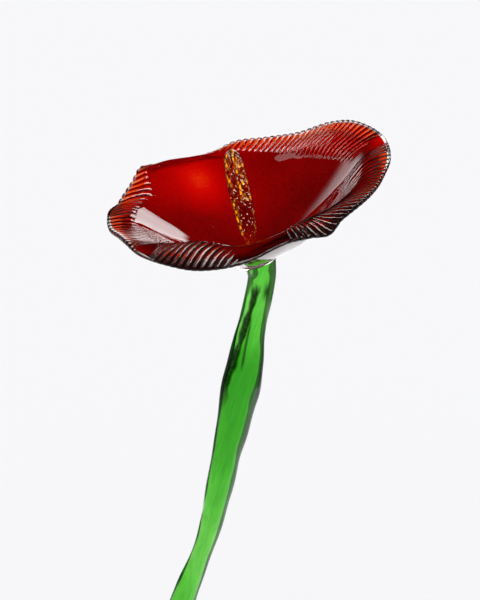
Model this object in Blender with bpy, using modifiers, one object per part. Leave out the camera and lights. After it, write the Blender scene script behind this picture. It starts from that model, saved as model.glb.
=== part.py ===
"""Glass poppy in a clear glass vase: ribbed dish bloom, net pistil, solid stem, straight vase.

Metres, +Z up. The origin is the centre of the vase's flat foot; the flower leans toward +X.
"""
import math

import bmesh
import bpy
from mathutils import Matrix, Vector

MM = 0.001
COLLECTION = "poppy_in_vase"

# vase
VASE_RADIUS = 42 * MM
VASE_WALL = 4 * MM
VASE_HEIGHT = 195 * MM
VASE_FLOOR = 14 * MM
VASE_STEPS = 64

# bloom: middle of the dish floor, and how the dish is tipped
HEAD = Vector((72.5, 0.0, 380.0)) * MM
HEAD_ROLL = math.radians(-15)
HEAD_TILT = math.radians(7)
GLASS = 3 * MM
BOSS_RADIUS = 8.8 * MM
BOSS_DROP = 4.6 * MM
BOWL_POWER = 1.75

# bloom: one row for each fold or lobe, anticlockwise from the right end: angle in degrees,
# lip start reach and rise, edge reach and rise in millimetres, and where on the lip the ribs begin
LIP = (
    (0, 50, 22.5, 63.5, 25.0, 0.05), (14, 49, 21.5, 65.0, 29.5, 0.1), (30, 47, 21.0, 63.0, 33.5, 0.0),
    (45, 46, 21.0, 62.0, 32.5, 0.0), (60, 47, 20.5, 60.0, 29.5, 0.15), (75, 49, 22.0, 60.0, 29.5, 0.25),
    (88, 51, 24.5, 61.0, 30.5, 0.35), (97, 54, 27.5, 63.0, 28.0, 0.5), (108, 55, 29.5, 65.0, 26.5, 0.6),
    (121, 55, 32.0, 65.0, 29.5, 0.55), (130, 52, 31.5, 61.0, 34.0, 0.35), (138, 47, 25.0, 60.0, 30.0, 0.1),
    (147, 47, 23.0, 60.5, 26.5, 0.1), (155, 46, 22.5, 60.0, 26.0, 0.1), (166, 43, 20.5, 56.5, 26.0, 0.1),
    (180, 39, 19.0, 53.5, 25.5, 0.0), (195, 38, 19.0, 51.0, 26.0, 0.0), (210, 42, 21.5, 52.5, 26.5, 0.0),
    (225, 47, 25.0, 57.0, 25.0, 0.1), (238, 49, 25.5, 59.0, 22.0, 0.05), (252, 49, 25.0, 60.0, 18.5, 0.0),
    (268, 49, 20.5, 59.0, 17.5, 0.0), (285, 49, 20.5, 58.0, 20.0, 0.0), (296, 49, 21.5, 57.0, 18.0, 0.0),
    (303, 49, 21.5, 59.0, 16.5, 0.0), (310, 49, 21.0, 59.5, 20.0, 0.0), (328, 49.5, 21.5, 60.5, 22.0, 0.0),
    (345, 50, 22.0, 60.5, 22.5, 0.0),
)

# bloom: rings of the disc it is formed from, bowl part and lip part, each from 0 to 1
BOWL_RINGS = (0.12, 0.22, 0.4, 0.6, 0.8, 1.0)
LIP_RINGS = (0.2, 0.4, 0.6, 0.8, 1.0)
DISC_STEPS = 63
RIB_SPLITS = 3
RIBS = 126
RIB_HEIGHT = 0.55 * MM
RIB_SWIRL = math.radians(9.5)
EDGE_ROUND = 0.7 * MM
CREASE_DEPTH = 1.4

# pistil
PISTIL_LEAN = math.radians(3)
PISTIL_LENGTH = 44.0
PISTIL_STEPS = 10
PISTIL_ROWS = 16
PISTIL_PIT = 0.8
PISTIL_PROFILE = (
    (0.0, 2.7), (1.1, 1.9), (2.5, 1.4), (4.9, 2.0), (7.0, 2.8), (9.0, 3.3), (13.0, 3.8), (21.0, 4.2),
    (29.0, 4.2), (34.0, 4.0), (39.0, 3.6), (41.5, 2.9), (43.2, 1.8), (44.0, 0.9),
)

# stem: centre x, y, z and radius in millimetres, from the bloom down to the foot
STEM = (
    (75.4, 0.7, 375.8, 6.8), (76.2, 0.6, 370.0, 5.9), (75.0, 0.5, 361.7, 5.8), (72.9, 0.5, 352.3, 5.9),
    (70.9, 0.5, 342.8, 6.5), (69.4, 0.4, 332.8, 7.7), (67.7, 0.3, 323.2, 8.3), (65.8, 0.2, 313.6, 7.7),
    (63.9, 0.2, 303.4, 7.0), (61.6, 0.1, 293.6, 6.2), (59.7, 0.1, 283.7, 6.0), (57.5, 0.0, 273.6, 5.6),
    (55.4, 0.0, 263.3, 5.0), (52.6, 0.0, 253.3, 4.5), (48.9, 0.0, 242.9, 4.5), (44.8, 0.0, 232.5, 5.2),
    (41.6, 0.0, 223.0, 5.6), (37.5, 0.0, 211.0, 5.5), (32.2, 0.0, 195.0, 5.1), (25.5, 0.0, 176.0, 5.2),
    (17.0, 0.0, 151.0, 5.8), (8.0, 0.0, 125.0, 5.5), (-1.0, 0.0, 99.0, 5.2), (-10.0, 0.0, 73.0, 5.4),
    (-19.0, 0.0, 46.0, 5.3), (-27.0, 0.0, 22.0, 5.2), (-29.6, 0.0, 14.3, 4.6),
)
STEM_SIDES = 24
STEM_SPLITS = 2
STEM_OVAL = 0.12
GROOVE_DEPTH = 2.0
GROOVE_WIDTH = math.radians(30)


def clear_scene():
    """Remove all that the start file holds."""
    for item in list(bpy.data.objects):
        bpy.data.objects.remove(item, do_unlink=True)


def new_collection():
    """The collection named for the object."""
    group = bpy.data.collections.new(COLLECTION)
    bpy.context.scene.collection.children.link(group)
    return group


def glass(name, colour, roughness):
    """A Principled glass of its own colour."""
    material = bpy.data.materials.new(name)
    material.use_nodes = True
    shader = material.node_tree.nodes["Principled BSDF"]
    shader.inputs["Base Color"].default_value = (*colour, 1.0)
    shader.inputs["Roughness"].default_value = roughness
    shader.inputs["Transmission Weight"].default_value = 1.0
    return material


def add_object(name, mesh, group, material):
    """Put a mesh in the collection under its own material."""
    item = bpy.data.objects.new(name, mesh)
    mesh.materials.append(material)
    group.objects.link(item)
    return item


def smoothstep(low, high, value):
    """0 below low, 1 above high, eased between."""
    t = min(max((value - low) / (high - low), 0.0), 1.0)
    return t * t * (3.0 - 2.0 * t)


def spline(a, b, c, d, t):
    """Catmull-Rom value between b and c."""
    return 0.5 * (2 * b + (c - a) * t + (2 * a - 5 * b + 4 * c - d) * t * t + (3 * b - a - 3 * c + d) * t ** 3)


def lip_at(angle):
    """Lip row at an angle, smooth and closed round the dish."""
    turn = math.degrees(angle) % 360.0
    step = max(k for k, row in enumerate(LIP) if row[0] <= turn)
    before, low, high, after = (
        (LIP[(step + k) % len(LIP)], LIP[(step + k) % len(LIP)][0] + 360 * ((step + k) // len(LIP)))
        for k in (-1, 0, 1, 2))
    span = high[1] - low[1]
    t = (turn - low[1]) / span
    values = []
    for p0, p1, p2, p3 in zip(before[0][1:], low[0][1:], high[0][1:], after[0][1:]):
        leave = span * (p2 - p0) / (high[1] - before[1])
        arrive = span * (p3 - p1) / (after[1] - low[1])
        values.append(p1 * (2 * t ** 3 - 3 * t * t + 1) + leave * (t ** 3 - 2 * t * t + t)
                      + p2 * (3 * t * t - 2 * t ** 3) + arrive * (t ** 3 - t * t))
    return values


def crease(x, y):
    """Depth of the fold that runs in from the notch at the left end of the rim, in millimetres."""
    width = 10.0 if y < 31.5 else 3.0
    return CREASE_DEPTH * smoothstep(-8.0, 6.0, -24.0 - x) * math.exp(-abs(31.5 - y) / width)


def dish_point(angle, bowl, lip):
    """Point of the dish: bowl runs 0 to 1 from the middle, lip 0 to 1 out to the edge."""
    start, rise, reach, edge, _ribs = lip_at(angle)
    if lip <= 0.0:
        out, up = start * bowl, rise * bowl ** BOWL_POWER
    else:
        slope = Vector((start, BOWL_POWER * rise)).normalized()
        foot, end = Vector((start, rise)), Vector((reach, edge))
        bend = foot + slope * 0.5 * (end - foot).length
        point = foot * (1 - lip) ** 2 + bend * 2 * lip * (1 - lip) + end * lip ** 2
        out, up = point.x, point.y
    x, y = out * math.cos(angle), out * math.sin(angle)
    return Vector((x, y, up - crease(x, y))) * MM


def rib_height(turn, lip):
    """Height of the tooled ribs, faded out on the smooth folds at two corners."""
    angle = turn + RIB_SWIRL * (1.0 - lip)
    degrees = math.degrees(angle) % 360.0
    fold = max(1.0 - abs(degrees - 226.0) / 10.0, 1.0 - abs(degrees - 9.0) / 6.0, 0.0)
    begin = lip_at(angle)[4]
    strength = smoothstep(begin, begin + 0.35, lip) * (1.0 - smoothstep(0.0, 0.6, fold))
    return RIB_HEIGHT * strength * math.cos(RIBS * turn)


def build_bloom(group):
    """Ruffled dish: a disc drawn into shape, thickened, then ribbed round the lip."""
    rings = [(bowl, 0.0) for bowl in BOWL_RINGS] + [(1.0, lip) for lip in LIP_RINGS]
    fine = len(BOWL_RINGS)
    work = bmesh.new()
    line = [work.verts.new((float(k), 0.0, 0.0)) for k in range(len(rings) + 1)]
    edges = [work.edges.new(pair) for pair in zip(line, line[1:])]
    bmesh.ops.spin(work, geom=line + edges, cent=(0, 0, 0), axis=(0, 0, 1), angle=math.tau,
                   steps=DISC_STEPS, use_duplicate=False)
    bmesh.ops.remove_doubles(work, verts=work.verts, dist=0.00005)
    outer = [e for e in work.edges if all(round(v.co.to_2d().length) >= fine for v in e.verts)
             and abs(e.verts[0].co.length - e.verts[1].co.length) < 0.1]
    bmesh.ops.subdivide_edges(work, edges=outer, cuts=RIB_SPLITS, use_grid_fill=True)
    places = []
    for vertex in work.verts:
        ring = round(vertex.co.to_2d().length)
        bowl, lip = rings[ring - 1] if ring else (0.0, 0.0)
        turn = math.atan2(vertex.co.y, vertex.co.x)
        places.append((turn, bowl, lip))
        vertex.co = dish_point(turn + RIB_SWIRL * (1.0 - lip), bowl, lip)
    bmesh.ops.recalc_face_normals(work, faces=work.faces)
    if sum(face.normal.z for face in work.faces) < 0:
        bmesh.ops.reverse_faces(work, faces=work.faces)
    mesh = bpy.data.meshes.new("bloom_sheet")
    work.to_mesh(mesh)
    work.free()
    sheet = bpy.data.objects.new("bloom_sheet", mesh)
    group.objects.link(sheet)
    thick = sheet.modifiers.new("thickness", "SOLIDIFY")
    thick.thickness = GLASS
    thick.offset = -1.0
    solid = bpy.data.meshes.new_from_object(sheet.evaluated_get(bpy.context.evaluated_depsgraph_get()))
    bpy.data.objects.remove(sheet, do_unlink=True)

    work = bmesh.new()
    work.from_mesh(solid)
    work.verts.ensure_lookup_table()
    work.normal_update()
    count = len(places)
    shifts = []
    for index, (turn, bowl, lip) in enumerate(places):
        if lip > 0.0:
            vertex = work.verts[index]
            shifts.append((vertex, vertex.normal * rib_height(turn, lip)))
    for index, (turn, bowl, lip) in enumerate(places):
        vertex = work.verts[index + count]
        if bowl <= BOWL_RINGS[0]:
            radius = BOSS_RADIUS * (bowl / BOWL_RINGS[0])
            vertex.co = Vector((radius * math.cos(turn), radius * math.sin(turn), -BOSS_DROP))
        elif bowl <= BOWL_RINGS[1]:
            flat = Vector((vertex.co.x, vertex.co.y, 0)).normalized() * (BOSS_RADIUS + 0.9 * MM)
            vertex.co = Vector((flat.x, flat.y, min(vertex.co.z, -GLASS)))
    for vertex, shift in shifts:
        vertex.co += shift
    edge = [e for e in work.edges if (e.verts[0].index < count) != (e.verts[1].index < count)]
    cut = bmesh.ops.subdivide_edges(work, edges=edge, cuts=1, use_grid_fill=True)
    middle = [v for v in cut["geom_inner"] if isinstance(v, bmesh.types.BMVert)]
    for vertex in middle:
        out = Vector((vertex.co.x, vertex.co.y, 0)).normalized()
        vertex.co += out * EDGE_ROUND
    tip = Matrix.Rotation(HEAD_ROLL, 4, "Y") @ Matrix.Rotation(HEAD_TILT, 4, "X")
    bmesh.ops.transform(work, matrix=Matrix.Translation(HEAD) @ tip, verts=work.verts)
    bmesh.ops.triangulate(work, faces=[f for f in work.faces if len(f.verts) > 4])
    bmesh.ops.recalc_face_normals(work, faces=work.faces)
    mesh = bpy.data.meshes.new("bloom")
    work.to_mesh(mesh)
    work.free()
    return add_object("bloom", mesh, group, glass("red_glass", (0.55, 0.01, 0.005), 0.05))


def wrapped(name, rows, sides, place, poke=False):
    """Closed tube from a flat grid: place(row, side) gives each point; both ends are capped.

    With poke, each face also gets a middle point, half a row and half a side on.
    """
    work = bmesh.new()
    bmesh.ops.create_grid(work, x_segments=sides, y_segments=rows - 1, size=1.0)
    if poke:
        bmesh.ops.poke(work, faces=work.faces)
    for vertex in work.verts:
        side = round((vertex.co.x + 1.0) * sides) / 2.0
        row = round((vertex.co.y + 1.0) * (rows - 1)) / 2.0
        vertex.co = place(row, side % sides)
    bmesh.ops.remove_doubles(work, verts=work.verts, dist=0.00002)
    bmesh.ops.holes_fill(work, edges=[e for e in work.edges if e.is_boundary], sides=0)
    bmesh.ops.recalc_face_normals(work, faces=work.faces)
    mesh = bpy.data.meshes.new(name)
    work.to_mesh(mesh)
    work.free()
    return mesh


def profile_radius(along):
    """Pistil radius at a length from its foot."""
    for (low, small), (high, big) in zip(PISTIL_PROFILE, PISTIL_PROFILE[1:]):
        if along <= high:
            return small + (big - small) * (along - low) / (high - low)
    return PISTIL_PROFILE[-1][1]


def build_pistil(group):
    """Turned club with a raised net, leaning a little out of the dish's axis."""
    tip = Matrix.Rotation(HEAD_ROLL, 4, "Y") @ Matrix.Rotation(HEAD_TILT, 4, "X")
    stand = Matrix.Translation(HEAD) @ tip @ Matrix.Translation((0, 0, 0.5 * MM))
    stand = stand @ Matrix.Rotation(PISTIL_LEAN, 4, "Y")

    def place(row, side):
        """Point of the pistil's skin; half rows are the middles of the net's pits."""
        along = PISTIL_LENGTH * row / PISTIL_ROWS
        pit = PISTIL_PIT * smoothstep(2.0, 8.0, along) * smoothstep(PISTIL_LENGTH, PISTIL_LENGTH - 3.0, along)
        radius = profile_radius(along) + pit * (0.4 if row == int(row) else -0.6)
        turn = math.tau * (side + row / 2.0) / PISTIL_STEPS
        return stand @ (Vector((radius * math.cos(turn), radius * math.sin(turn), along)) * MM)

    mesh = wrapped("pistil", PISTIL_ROWS + 1, PISTIL_STEPS, place, poke=True)
    return add_object("pistil", mesh, group, glass("amber_glass", (0.5, 0.12, 0.01), 0.05))


def stem_path():
    """Stem centres and radii, each span split along a smooth curve."""
    ends = [STEM[0]] + list(STEM) + [STEM[-1]]
    path = []
    for a, b, c, d in zip(ends, ends[1:], ends[2:], ends[3:]):
        for k in range(STEM_SPLITS):
            path.append([spline(*column, k / STEM_SPLITS) for column in zip(a, b, c, d)])
    path.append(list(STEM[-1]))
    return path


def build_stem(group):
    """Solid drawn stem: oval, grooved near the top, cut to the boss above and to the floor below."""
    path = stem_path()
    head_axis = Matrix.Rotation(HEAD_ROLL, 3, "Y") @ Matrix.Rotation(HEAD_TILT, 3, "X") @ Vector((0, 0, 1))
    last = len(path) - 1

    def place(row, side):
        """Point of the stem's skin."""
        row = int(row)
        x, y, z, radius = path[row]
        before, after = path[max(row - 1, 0)], path[min(row + 1, last)]
        down = (Vector(after[:3]) - Vector(before[:3])).normalized()
        front = Vector((0, -1, 0))
        right = down.cross(front).normalized() * -1.0
        front = right.cross(down).normalized()
        if front.y > 0:
            front = -front
        if right.x < 0:
            right = -right
        turn = math.tau * side / STEM_SIDES
        swell = smoothstep(6.2, 8.0, radius)
        wide = radius
        deep = radius * (1.0 - STEM_OVAL - 0.1 * swell)
        drop = 376.0 - z
        strength = smoothstep(7.0, 16.0, drop) * (1.0 - smoothstep(34.0, 60.0, drop))
        aim = math.radians(-95.0 - 40.0 * smoothstep(9.0, 42.0, drop))
        gap = abs((turn - aim + math.pi) % math.tau - math.pi)
        groove = GROOVE_DEPTH * strength * math.exp(-(gap / GROOVE_WIDTH) ** 2 * 3.0)
        wave = 0.22 * math.sin(0.31 * z + 2.0 * turn) * smoothstep(4.0, 20.0, drop)
        shell = 1.0 - (groove + wave) / radius
        offset = right * (wide * math.cos(turn) * shell) - front * (deep * math.sin(turn) * shell)
        slide_top = -(offset.dot(head_axis)) / down.dot(head_axis)
        slide_foot = -(offset.z) / down.z
        near_top = 1.0 - smoothstep(0.0, 9.0, drop - 1.0)
        near_foot = 1.0 - smoothstep(14.3, 24.0, z)
        point = Vector((x, y, z)) + offset + down * (slide_top * near_top + slide_foot * near_foot)
        return point * MM

    mesh = wrapped("stem", len(path), STEM_SIDES, place)
    return add_object("stem", mesh, group, glass("green_glass", (0.1, 0.45, 0.05), 0.05))


def build_vase(group):
    """Straight cylinder with a thick flat foot and a rounded mouth, turned from one profile."""
    radius, wall, top = VASE_RADIUS, VASE_WALL, VASE_HEIGHT
    inner = radius - wall
    half = wall / 2
    points = [(0.0, 0.0), (radius - 2.5 * MM, 0.0), (radius - 0.8 * MM, 0.7 * MM), (radius, 2.5 * MM)]
    for k in range(7):
        turn = math.pi * k / 6
        points.append((radius - half + half * math.cos(turn), top - half + half * math.sin(turn)))
    for k in range(4):
        turn = math.pi / 2 * k / 3
        points.append((inner - 4 * MM + 4 * MM * math.cos(turn), VASE_FLOOR + 4 * MM - 4 * MM * math.sin(turn)))
    points.append((0.0, VASE_FLOOR))
    work = bmesh.new()
    line = [work.verts.new((x, 0.0, z)) for x, z in points]
    for pair in zip(line, line[1:]):
        work.edges.new(pair)
    mesh = bpy.data.meshes.new("vase_profile")
    work.to_mesh(mesh)
    work.free()
    profile = bpy.data.objects.new("vase_profile", mesh)
    group.objects.link(profile)
    turned = profile.modifiers.new("turned", "SCREW")
    turned.steps = VASE_STEPS
    turned.render_steps = VASE_STEPS
    turned.use_merge_vertices = True
    turned.merge_threshold = 0.00005
    solid = bpy.data.meshes.new_from_object(profile.evaluated_get(bpy.context.evaluated_depsgraph_get()))
    bpy.data.objects.remove(profile, do_unlink=True)
    work = bmesh.new()
    work.from_mesh(solid)
    bmesh.ops.recalc_face_normals(work, faces=work.faces)
    work.to_mesh(solid)
    work.free()
    return add_object("vase", solid, group, glass("clear_glass", (0.95, 0.97, 0.96), 0.02))


def main():
    """Build the four pieces."""
    clear_scene()
    group = new_collection()
    build_vase(group)
    build_stem(group)
    build_bloom(group)
    build_pistil(group)


main()
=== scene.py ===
"""Glass poppy in a clear glass vase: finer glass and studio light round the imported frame.

Lengths are written in millimetres and turned to metres where a mesh is made. The origin is the centre
of the vase's flat foot, +Z is up and the flower leans out toward +X.
"""
from __future__ import annotations

import logging
import math
from dataclasses import dataclass
from enum import Enum
from typing import Any, ClassVar, Mapping, Sequence

import bpy
import numpy as np
from mathutils import Matrix, Vector

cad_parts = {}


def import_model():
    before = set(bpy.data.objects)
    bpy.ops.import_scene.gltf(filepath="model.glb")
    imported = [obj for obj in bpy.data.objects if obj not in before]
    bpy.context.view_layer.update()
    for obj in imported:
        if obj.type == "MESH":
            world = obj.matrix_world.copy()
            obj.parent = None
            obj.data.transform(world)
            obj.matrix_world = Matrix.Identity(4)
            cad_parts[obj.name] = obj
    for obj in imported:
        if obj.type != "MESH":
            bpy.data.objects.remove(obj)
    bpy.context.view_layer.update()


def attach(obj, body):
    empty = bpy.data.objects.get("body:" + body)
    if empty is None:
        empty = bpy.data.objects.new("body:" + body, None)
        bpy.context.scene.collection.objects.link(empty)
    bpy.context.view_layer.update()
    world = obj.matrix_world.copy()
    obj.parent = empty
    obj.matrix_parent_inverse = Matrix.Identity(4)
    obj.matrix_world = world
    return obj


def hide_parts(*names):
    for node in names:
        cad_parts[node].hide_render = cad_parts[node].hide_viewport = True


MM = 0.001
LOG = logging.getLogger("glass_poppy")
Array = np.ndarray
Span = tuple[float, float]
Triple = tuple[float, float, float]
Table = tuple[tuple[float, ...], ...]
Material, Piece = bpy.types.Material, bpy.types.Object
Node, Socket, Tree = bpy.types.Node, bpy.types.NodeSocket, bpy.types.NodeTree


class Slot(Enum):
    """Material slots of the record."""

    RED = "red_glass"
    AMBER = "amber_glass"
    GREEN = "green_glass"
    CLEAR = "clear_glass"


def linear(hex_colour: str) -> tuple[float, float, float, float]:
    """Turn an sRGB hex colour to linear light.

    Args:
        hex_colour: Six hex digits.

    Returns:
        Red, green, blue and an alpha of one.
    """
    parts = [int(hex_colour[k:k + 2], 16) / 255.0 for k in (0, 2, 4)]
    light = [p / 12.92 if p <= 0.04045 else ((p + 0.055) / 1.055) ** 2.4 for p in parts]
    return light[0], light[1], light[2], 1.0


def add_node(tree: Tree, kind: str, settings: Mapping[str, Any] | None = None,
             inputs: Mapping[Any, Any] | None = None) -> Node:
    """Add one node with its settings, socket values and links.

    Args:
        tree: Tree that takes the node.
        kind: Node type name.
        settings: Attributes to set on the node.
        inputs: Socket name or number to a value, or to the output socket that feeds it.

    Returns:
        The new node.
    """
    node = tree.nodes.new(kind)
    for name, value in (settings or {}).items():
        setattr(node, name, value)
    for key, value in (inputs or {}).items():
        if isinstance(value, Socket):
            tree.links.new(value, node.inputs[key])
        else:
            node.inputs[key].default_value = value
    return node


def empty_material(name: str) -> tuple[Material, Tree, Node]:
    """Start a node material.

    Args:
        name: Real material and how it was made.

    Returns:
        The material, its tree and its output node.
    """
    material = bpy.data.materials.new(name)
    material.use_nodes = True
    tree = material.node_tree
    tree.nodes.clear()
    return material, tree, add_node(tree, "ShaderNodeOutputMaterial")


def covered(tree: Tree, clear: Node, share: Socket, colour: str, most: float, glow: float = 0.0) -> Node:
    """Glass with an opaque colour over part of it.

    Args:
        tree: Tree that takes the nodes.
        clear: Shader of the bare glass.
        share: How much of the colour covers each place.
        colour: sRGB hex of the colour.
        most: Cover where share is 1.
        glow: Painted glow that the colour gives off, though it is no lamp.

    Returns:
        The mixed shader.
    """
    solid = add_node(tree, "ShaderNodeBsdfPrincipled", None, {
        "Base Color": linear(colour), "Roughness": 0.5, "Specular IOR Level": 0.0,
        "Emission Color": linear(colour), "Emission Strength": glow})
    part = add_node(tree, "ShaderNodeMapRange", None, {"Value": share, "To Min": 0.0, "To Max": most})
    return add_node(tree, "ShaderNodeMixShader", None,
                    {0: part.outputs[0], 1: clear.outputs[0], 2: solid.outputs[0]})


def uneven(tree: Tree, place: Socket, size_mm: float, detail: Span, source: Span, target: Span) -> Socket:
    """Cloudy variation of a real size, kept inside a range.

    Args:
        tree: Tree that takes the nodes.
        place: Place on the piece.
        size_mm: Size of the largest clouds in millimetres.
        detail: How many finer octaves there are, and how strong each is.
        source: Part of the noise that is used.
        target: What its ends become.

    Returns:
        The variation.
    """
    noise = add_node(tree, "ShaderNodeTexNoise", None, {
        "Vector": place, "Scale": 1.0 / (size_mm * MM), "Detail": detail[0], "Roughness": detail[1]})
    return add_node(tree, "ShaderNodeMapRange", None, {
        "Value": noise.outputs["Fac"], "From Min": source[0], "From Max": source[1],
        "To Min": target[0], "To Max": target[1]}).outputs[0]


def shown(tree: Tree, light: Socket, camera: float) -> Socket:
    """Brightness for the glass and the room, with a plain one for the camera.

    Args:
        tree: Tree that takes the nodes.
        light: Brightness that the glass and the room get.
        camera: Brightness that the camera gets.

    Returns:
        The brightness.
    """
    ray = add_node(tree, "ShaderNodeLightPath").outputs["Is Camera Ray"]
    both = add_node(tree, "ShaderNodeMix", {"data_type": "FLOAT"}, {0: ray, 2: light, 3: camera})
    return both.outputs[0]


def smoothstep(low: float, high: float, value: Array | float) -> Array:
    """Ease from 0 at low to 1 at high."""
    t = np.clip((np.asarray(value, dtype=float) - low) / (high - low), 0.0, 1.0)
    return t * t * (3.0 - 2.0 * t)


def between(start: Span, end: Span, value: Array) -> Array:
    """Ease in over the start span and out over the end span."""
    return smoothstep(*start, value) * (1.0 - smoothstep(*end, value))


def unit(vectors: Array) -> Array:
    """Scale each vector to length one."""
    return vectors / np.maximum(np.linalg.norm(vectors, axis=-1, keepdims=True), 1e-12)


def skin(name: str, points: Array, caps: bool = True) -> Piece:
    """Make a smooth piece from rings of points, wound so that its faces look outward.

    Args:
        name: Piece name.
        points: Rings by points by three, in millimetres; each ring closes on itself.
        caps: Close the first and the last ring with a fan to its middle.

    Returns:
        The new object, linked to the scene.
    """
    rings, sides = points.shape[:2]
    vertices = points.reshape(-1, 3)
    row = np.arange(rings - 1)[:, None] * sides
    here = np.arange(sides)[None, :]
    there = (here + 1) % sides
    quads = np.stack([row + here, row + there, row + sides + there, row + sides + here], -1).reshape(-1, 4)
    faces = [tuple(q) for q in quads.tolist()]
    if caps:
        first, last = len(vertices), len(vertices) + 1
        vertices = np.vstack([vertices, points[0].mean(0), points[-1].mean(0)])
        ends = (rings - 1) * sides
        for k, after in enumerate(there[0].tolist()):
            faces += [(first, after, k), (last, ends + k, ends + after)]
    first, beside, beyond = points[:-1], np.roll(points, -1, 1)[:-1], np.roll(points, -1, 1)[1:]
    outward = np.cross(beside - first, beyond - first)
    if np.einsum("ijk,ijk->", first - points.mean((0, 1)), outward) < 0.0:
        faces = [face[::-1] for face in faces]
    mesh = bpy.data.meshes.new(name)
    mesh.from_pydata((vertices * MM).tolist(), [], faces)
    mesh.validate()
    mesh.polygons.foreach_set("use_smooth", [True] * len(mesh.polygons))
    piece = bpy.data.objects.new(name, mesh)
    bpy.context.scene.collection.objects.link(piece)
    return piece


def store(piece: Piece, name: str, values: Array) -> None:
    """Keep one number for each point of a piece, for its material to read.

    Args:
        piece: Piece that takes the numbers.
        name: Attribute name.
        values: One number for each point; points without one get 0.
    """
    layer = piece.data.attributes.new(name, "FLOAT", "POINT")
    filled = np.zeros(len(piece.data.vertices))
    filled[: values.size] = values.ravel()
    layer.data.foreach_set("value", filled)


def settle(piece: Piece, node: str, material: Material) -> None:
    """Dress a piece, let it stand for its CAD node and ride on the body.

    Args:
        piece: Piece to settle.
        node: CAD node that it replaces.
        material: Its finish.
    """
    piece.data.materials.append(material)
    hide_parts(node)
    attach(piece, "root")
    LOG.info("%s: %d faces, stands for %s", piece.name, len(piece.data.polygons), node)


def spline_through(rows: Array, splits: int) -> Array:
    """Smooth curve through rows of numbers.

    Args:
        rows: Points to pass through, one a row.
        splits: Steps between two rows.

    Returns:
        The finer rows.
    """
    padded = np.vstack([rows[0], rows, rows[-1]])
    steps = np.linspace(0.0, 1.0, splits, endpoint=False)[:, None]
    spans = []
    for a, b, c, d in zip(padded, padded[1:], padded[2:], padded[3:]):
        spans.append(0.5 * (2 * b + (c - a) * steps + (2 * a - 5 * b + 4 * c - d) * steps ** 2
                            + (3 * b - a - 3 * c + d) * steps ** 3))
    return np.vstack([*spans, rows[-1]])


def upward_normals(rings: Array) -> Array:
    """Upward normals of a stack of rings that runs outward and does not start at a point."""
    around = np.roll(rings, -1, 1) - np.roll(rings, 1, 1)
    return unit(np.cross(np.gradient(rings, axis=0), around))


def arc(middle: Span, radius: float, start: float, stop: float, steps: int) -> list[Span]:
    """Points along part of a circle, between two angles in degrees."""
    return [(middle[0] + radius * math.cos(angle), middle[1] + radius * math.sin(angle))
            for angle in np.radians(np.linspace(start, stop, steps + 1))]


@dataclass(frozen=True, kw_only=True)
class WavyGlass:
    """Polished glass with a faintly wavy surface, as blown and hand-worked glass has."""

    name: str
    ior: float = 1.5
    roughness: float = 0.0
    wave_mm: float = 6.0
    wave_depth_mm: float = 0.06
    wave_detail: float = 2.0

    def bare(self, tree: Tree, place: Socket, colour: Any) -> Node:
        """Shader of the bare glass.

        Args:
            tree: Tree that takes the nodes.
            place: Place on the piece, for the waves.
            colour: What the surface lets through.

        Returns:
            The shader.
        """
        wave = add_node(tree, "ShaderNodeTexNoise", None, {
            "Vector": place, "Scale": 1.0 / (self.wave_mm * MM), "Detail": self.wave_detail})
        ripple = add_node(tree, "ShaderNodeBump", None, {
            "Height": wave.outputs["Fac"], "Strength": 1.0, "Distance": self.wave_depth_mm * MM})
        return add_node(tree, "ShaderNodeBsdfPrincipled", None, {
            "Base Color": colour, "Roughness": self.roughness, "IOR": self.ior,
            "Transmission Weight": 1.0, "Normal": ripple.outputs["Normal"]})


@dataclass(frozen=True, kw_only=True)
class GrooveShadedGlass(WavyGlass):
    """Clear soda-lime glass, tooled and fire-polished: hard bright glints, painted shade as dark lines in
    the grooves.
    """

    name: str = "clear_casing_glass_tooled"
    wave_mm: float = 14.0
    wave_depth_mm: float = 0.05
    wave_detail: float = 1.0
    tint: str = "FFFFFF"
    groove_shade_colour: str = "1C0605"
    groove_shade_cover: float = 0.85

    def build(self) -> Material:
        """Make the material; the piece's attribute groove says where painted shade lies as a dark line.

        Returns:
            The material.
        """
        material, tree, out = empty_material(self.name)
        # Painted shade: a dark opaque cover and a dark tint of the glass along the grooves and the tucked
        # front edge.
        groove = add_node(tree, "ShaderNodeAttribute", {"attribute_name": "groove"}).outputs["Fac"]
        colour = add_node(tree, "ShaderNodeMix", {"data_type": "RGBA"}, {
            0: groove, 6: linear(self.tint), 7: linear(self.groove_shade_colour)})
        place = add_node(tree, "ShaderNodeTexCoord").outputs["Object"]
        glass = self.bare(tree, place, colour.outputs[2])
        glass = covered(tree, glass, groove, self.groove_shade_colour, self.groove_shade_cover)
        tree.links.new(glass.outputs[0], out.inputs["Surface"])
        return material


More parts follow.
